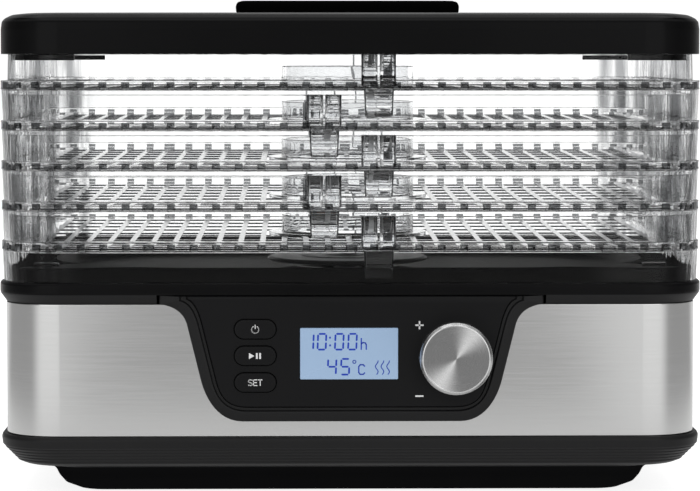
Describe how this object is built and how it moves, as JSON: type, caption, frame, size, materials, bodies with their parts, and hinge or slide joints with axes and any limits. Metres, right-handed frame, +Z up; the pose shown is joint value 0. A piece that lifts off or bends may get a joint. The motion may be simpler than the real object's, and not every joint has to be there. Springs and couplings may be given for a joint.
{
  "type": "food dehydrator",
  "caption": "Rectangular countertop food dehydrator: heater base with steel wrap and front controls, stacked clear slotted trays and a black lid with a bar handle.",
  "frame": {"origin": "centre of the footprint on the table, under the feet", "axes": "+X to the viewer's right, +Y to the back, +Z up; the control panel faces -Y"},
  "size_m": [0.34, 0.2626, 0.241],
  "materials": {
    "black_satin": "fine satin moulded surface",
    "black_gloss": "high gloss",
    "clear": "clear moulded plastic, glossy",
    "steel": "brushed horizontally",
    "aluminium": "spun face with fine turning lines",
    "zinc": "zinc plated",
    "copper": "copper and resistance wire",
    "rubber": "matte",
    "display": "backlit liquid crystal window",
    "circuit_green": "solder resist",
    "mica": "mica sheet",
    "white_nylon": "moulded nylon",
    "grey_plastic": "moulded"
  },
  "bodies": {
    "base": {"bottom_cover": "black_satin", "steel_band": "steel", "body_frame": "black_satin", "top_housing": "black_satin", "air_cap": "black_satin", "cap_screw": "black_satin", "cord_inlet": "rubber", "fascia_frame": "black_satin", "face_panel": "black_satin", "display_window": "display", "lcd_module": "grey_plastic", "control_board": "circuit_green", "encoder_body": "grey_plastic", "air_duct": "grey_plastic", "motor_bracket": "zinc", "fan_motor": "zinc", "heater_frame": "mica", "heater_coil": "copper", "thermal_fuse": "zinc", "temperature_sensor": "white_nylon", "power_board": "circuit_green", "transformer": "copper", "relay": "grey_plastic", "capacitor": "black_satin", "terminal_block": "white_nylon", "ribbon_cable": "grey_plastic", "foot_rear_right": "rubber", "base_screw_rear_right": "zinc", "foot_rear_left": "rubber", "base_screw_rear_left": "zinc", "foot_front_left": "rubber", "base_screw_front_left": "zinc", "foot_front_right": "rubber", "base_screw_front_right": "zinc", "switch_power": "grey_plastic", "switch_start_pause": "grey_plastic", "switch_set": "grey_plastic"},
    "knob": {"knob_cap": "aluminium", "knob_core": "black_satin", "encoder_shaft": "zinc"},
    "fan": {"fan_impeller": "white_nylon", "motor_shaft": "zinc"},
    "lid": {"lid": "black_gloss", "lid_handle": "black_gloss", "handle_screw_left": "zinc", "handle_screw_right": "zinc"},
    "key_power": {"button_power": "black_gloss"},
    "key_start_pause": {"button_start_pause": "black_gloss"},
    "key_set": {"button_set": "black_gloss"},
    "tray_1": {"tray_1": "clear"},
    "tray_2": {"tray_2": "clear"},
    "tray_3": {"tray_3": "clear"},
    "tray_4": {"tray_4": "clear"},
    "tray_5": {"tray_5": "clear"}
  },
  "joints": [
    {"name": "tray_1_lift", "type": "slide", "parent": "base", "child": "tray_1", "axis": [0, 0, 1], "range_m": [0, 0.06]},
    {"name": "tray_2_lift", "type": "slide", "parent": "tray_1", "child": "tray_2", "axis": [0, 0, 1], "range_m": [0, 0.06]},
    {"name": "tray_3_lift", "type": "slide", "parent": "tray_2", "child": "tray_3", "axis": [0, 0, 1], "range_m": [0, 0.06]},
    {"name": "tray_4_lift", "type": "slide", "parent": "tray_3", "child": "tray_4", "axis": [0, 0, 1], "range_m": [0, 0.06]},
    {"name": "tray_5_lift", "type": "slide", "parent": "tray_4", "child": "tray_5", "axis": [0, 0, 1], "range_m": [0, 0.06]},
    {"name": "lid_lift", "type": "slide", "parent": "tray_5", "child": "lid", "axis": [0, 0, 1], "range_m": [0, 0.08]},
    {"name": "power_press", "type": "slide", "parent": "base", "child": "key_power", "axis": [0, 1, 0], "range_m": [0, 0.0008], "stiffness_N_per_m": 400},
    {"name": "start_pause_press", "type": "slide", "parent": "base", "child": "key_start_pause", "axis": [0, 1, 0], "range_m": [0, 0.0008], "stiffness_N_per_m": 400},
    {"name": "set_press", "type": "slide", "parent": "base", "child": "key_set", "axis": [0, 1, 0], "range_m": [0, 0.0008], "stiffness_N_per_m": 400},
    {"name": "knob_turn", "type": "hinge", "parent": "base", "child": "knob", "pos_m": [0.0495, -0.1251, 0.069], "axis": [0, -1, 0], "continuous": true},
    {"name": "fan_spin", "type": "hinge", "parent": "base", "child": "fan", "pos_m": [0, 0.0059, 0.056], "axis": [0, 0, 1], "continuous": true}
  ]
}
